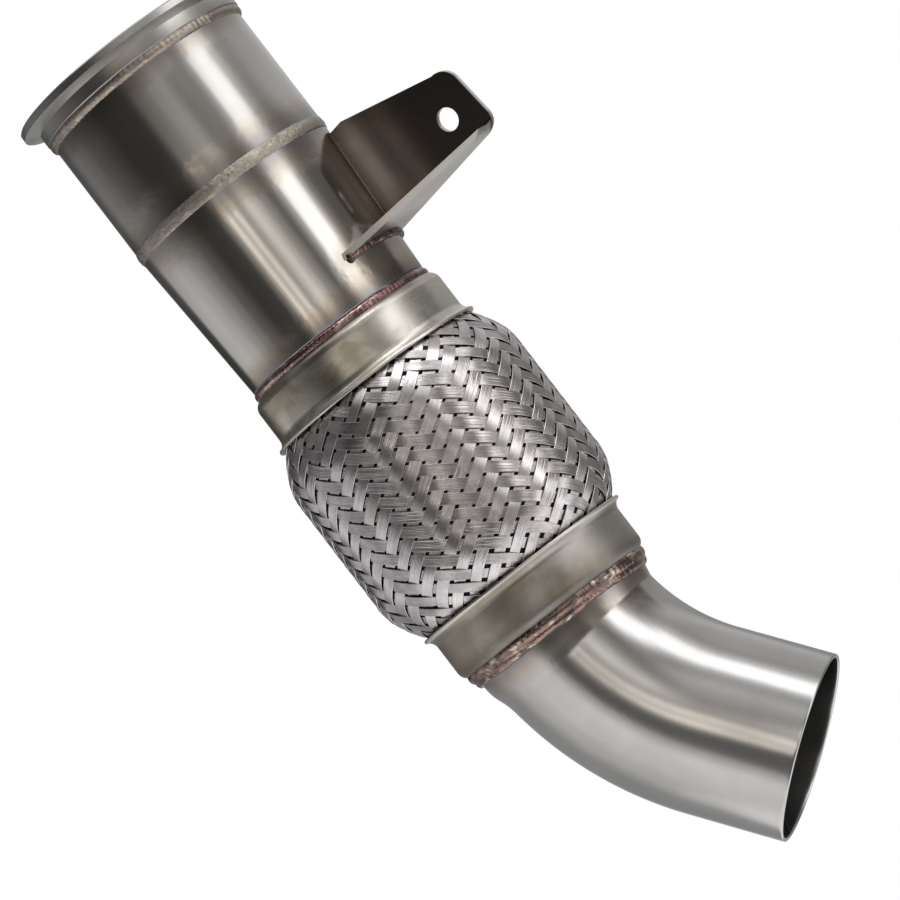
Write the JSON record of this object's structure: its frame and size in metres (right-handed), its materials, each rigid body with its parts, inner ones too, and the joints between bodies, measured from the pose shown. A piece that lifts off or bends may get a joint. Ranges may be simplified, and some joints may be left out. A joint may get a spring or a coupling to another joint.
{
  "type": "turbo downpipe",
  "caption": "Welded stainless exhaust downpipe with a clamped inlet flange, a tapering reducer, a braided flex coupling, a side bracket and a short outlet bend.",
  "frame": {"origin": "centre of the inlet flange's sealing face", "axes": "+Z out of the inlet along the pipe's axis, so the gas runs down; +X towards the side to which the outlet bends"},
  "size_m": [0.1449, 0.1004, 0.3727],
  "materials": {
    "inlet_flange": "satin",
    "pipe": "satin",
    "collar": "satin",
    "braid": "satin",
    "inner": "satin",
    "bracket": "satin",
    "weld": "heat-tinted",
    "straw_weld": "heat-tinted"
  },
  "bodies": {
    "root": {"inlet_flange": "inlet_flange", "inlet_flange_weld": "straw_weld", "inlet_pipe": "pipe", "sensor_boss": "inlet_flange", "sensor_boss_weld": "weld", "seam_weld": "straw_weld", "reducer": "pipe", "side_bracket": "bracket", "bracket_flange_weld": "weld", "bracket_web_weld": "weld", "upper_weld": "weld", "upper_collar": "collar", "upper_inner_ring": "inner", "outer_braid": "braid", "bellows": "inner", "liner": "inner", "lower_inner_ring": "inner", "lower_collar": "collar", "lower_weld": "weld", "outlet_bend": "pipe"}
  },
  "joints": []
}
